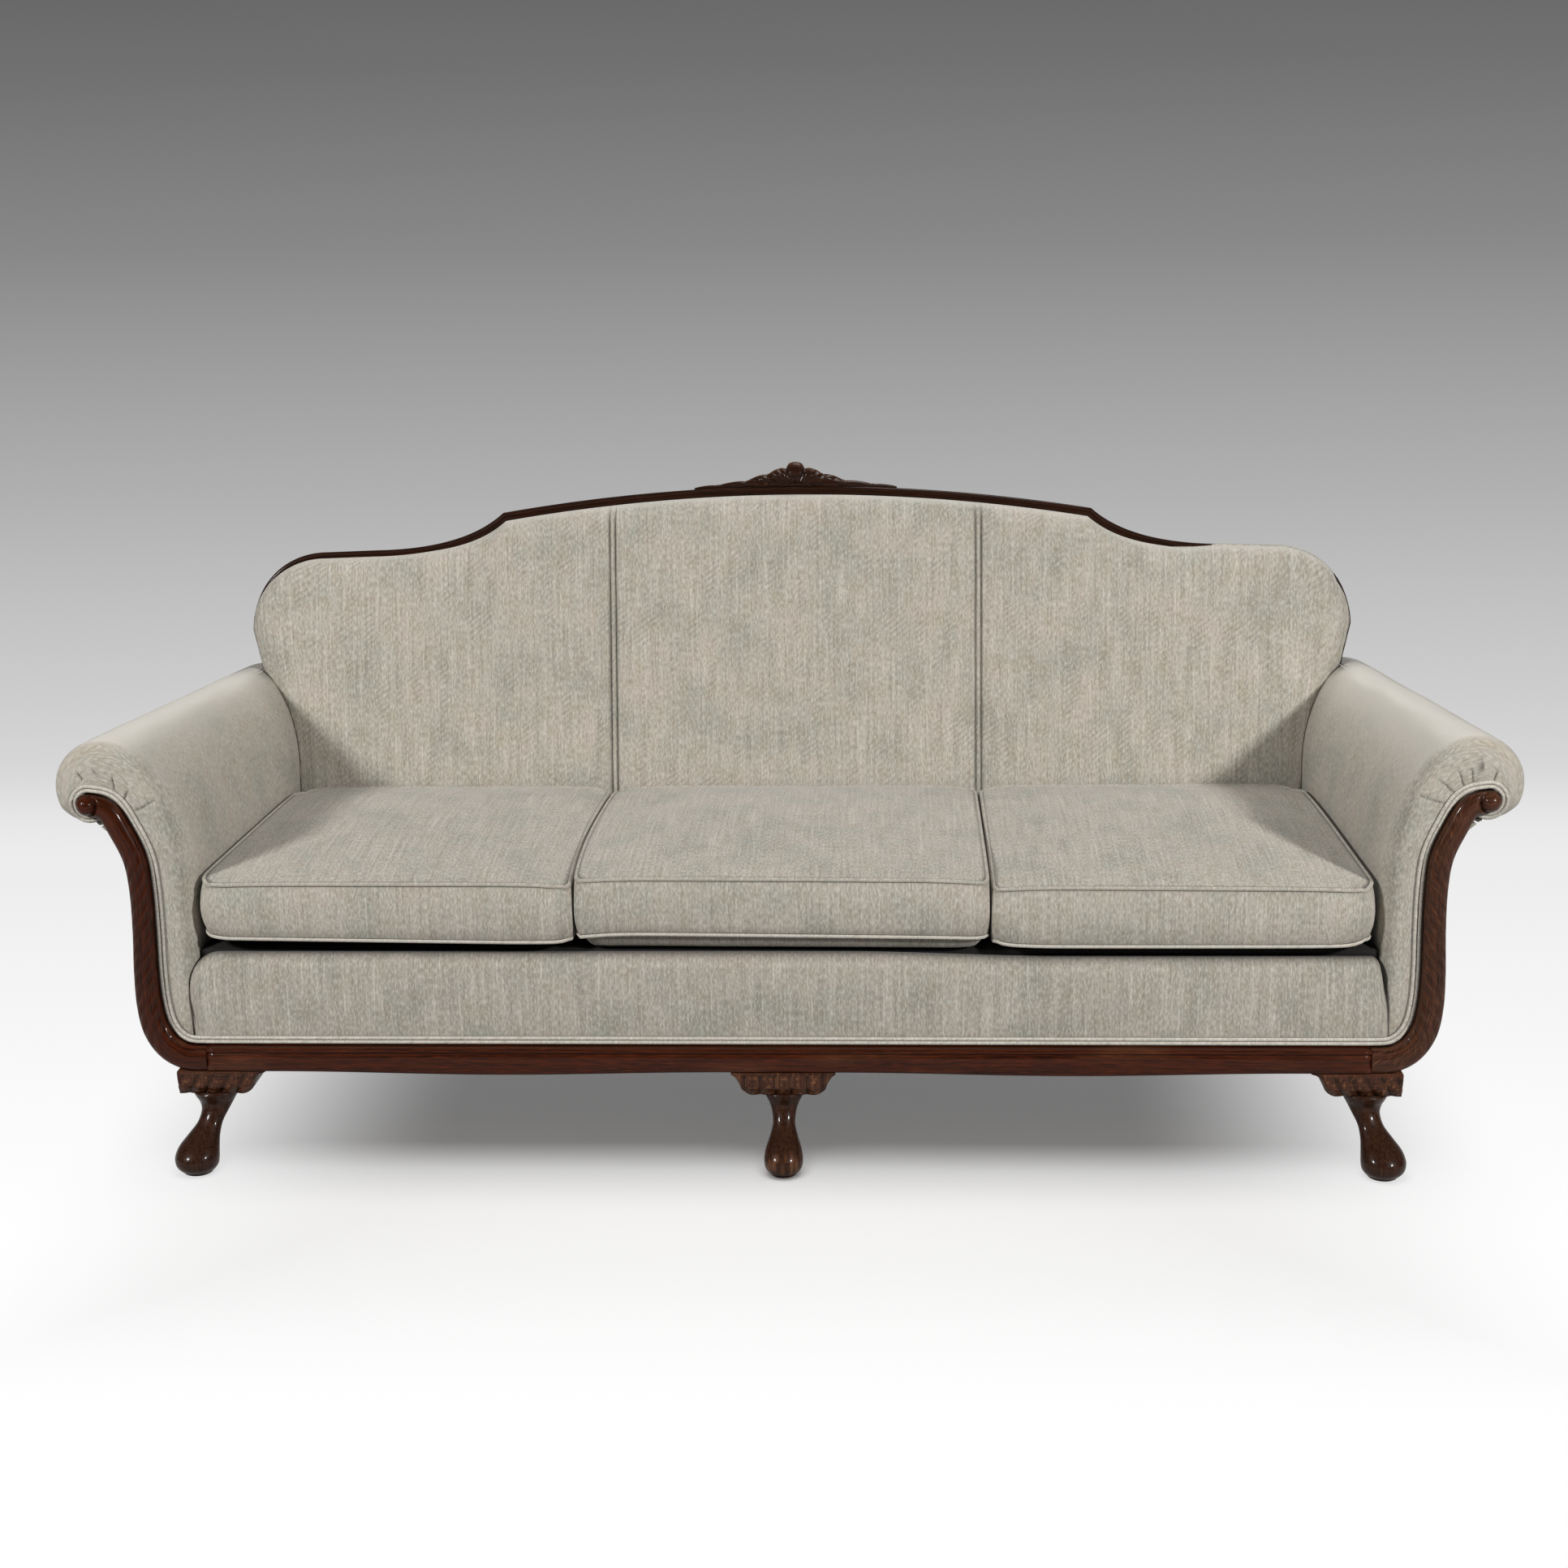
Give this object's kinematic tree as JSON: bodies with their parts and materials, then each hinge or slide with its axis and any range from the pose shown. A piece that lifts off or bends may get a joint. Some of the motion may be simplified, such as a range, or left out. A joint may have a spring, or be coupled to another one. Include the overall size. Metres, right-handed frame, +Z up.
{
  "type": "camelback sofa",
  "caption": "Three-seat camelback sofa with rolled arms, carved show-wood trim and feet, and loose box seat cushions that lift off a sprung hardwood frame.",
  "frame": {"origin": "on the floor under the middle of the sofa's bounding box", "axes": "+Z up, +X along the width to the viewer's right when facing the front, the front faces -Y"},
  "size_m": [2.0766, 0.816, 0.9454],
  "materials": {
    "upholstery": "matte strie weave, pale grey-beige",
    "show_wood": "dark red-brown mahogany, glossy",
    "frame_timber": "unfinished beech",
    "spring_steel": "drawn wire",
    "dust_cloth": "black cambric"
  },
  "bodies": {
    "frame": {"arm_facing_left": "show_wood", "arm_facing_right": "show_wood", "arm_pad_left": "upholstery", "arm_pad_right": "upholstery", "arm_stump_left": "frame_timber", "arm_stump_right": "frame_timber", "arm_tack_rail_left": "frame_timber", "arm_tack_rail_right": "frame_timber", "arm_top_rail_left": "frame_timber", "arm_top_rail_right": "frame_timber", "back_pad": "upholstery", "back_post_left": "frame_timber", "back_post_right": "frame_timber", "back_tack_rail": "frame_timber", "back_top_rail": "frame_timber", "back_upright_left": "frame_timber", "back_upright_right": "frame_timber", "crest_carving": "show_wood", "cross_rail_left": "frame_timber", "cross_rail_right": "frame_timber", "dust_cover": "dust_cloth", "front_apron": "show_wood", "front_border": "upholstery", "front_corner_block_left": "frame_timber", "front_corner_block_right": "frame_timber", "front_double_welt": "upholstery", "front_leg_left": "show_wood", "front_leg_middle": "show_wood", "front_leg_right": "show_wood", "front_seat_rail": "frame_timber", "leg_block_left": "show_wood", "leg_block_middle": "show_wood", "leg_block_right": "show_wood", "outside_arm_left": "upholstery", "outside_arm_right": "upholstery", "outside_back": "upholstery", "rear_corner_block_left": "frame_timber", "rear_corner_block_right": "frame_timber", "rear_leg_left": "show_wood", "rear_leg_middle": "show_wood", "rear_leg_right": "show_wood", "rear_seat_rail": "frame_timber", "seat_deck": "upholstery", "seat_spring_1": "spring_steel", "seat_spring_2": "spring_steel", "seat_spring_3": "spring_steel", "seat_spring_4": "spring_steel", "seat_spring_5": "spring_steel", "seat_spring_6": "spring_steel", "seat_spring_7": "spring_steel", "seat_spring_8": "spring_steel", "side_seat_rail_left": "frame_timber", "side_seat_rail_right": "frame_timber", "top_moulding": "show_wood"},
    "left_cushion": {"seat_cushion_left": "upholstery"},
    "middle_cushion": {"seat_cushion_middle": "upholstery"},
    "right_cushion": {"seat_cushion_right": "upholstery"}
  },
  "joints": [
    {"name": "left_cushion_lift", "type": "slide", "parent": "frame", "child": "left_cushion", "axis": [0, 0, 1], "range_m": [0, 0.45]},
    {"name": "middle_cushion_lift", "type": "slide", "parent": "frame", "child": "middle_cushion", "axis": [0, 0, 1], "range_m": [0, 0.45]},
    {"name": "right_cushion_lift", "type": "slide", "parent": "frame", "child": "right_cushion", "axis": [0, 0, 1], "range_m": [0, 0.45]}
  ]
}
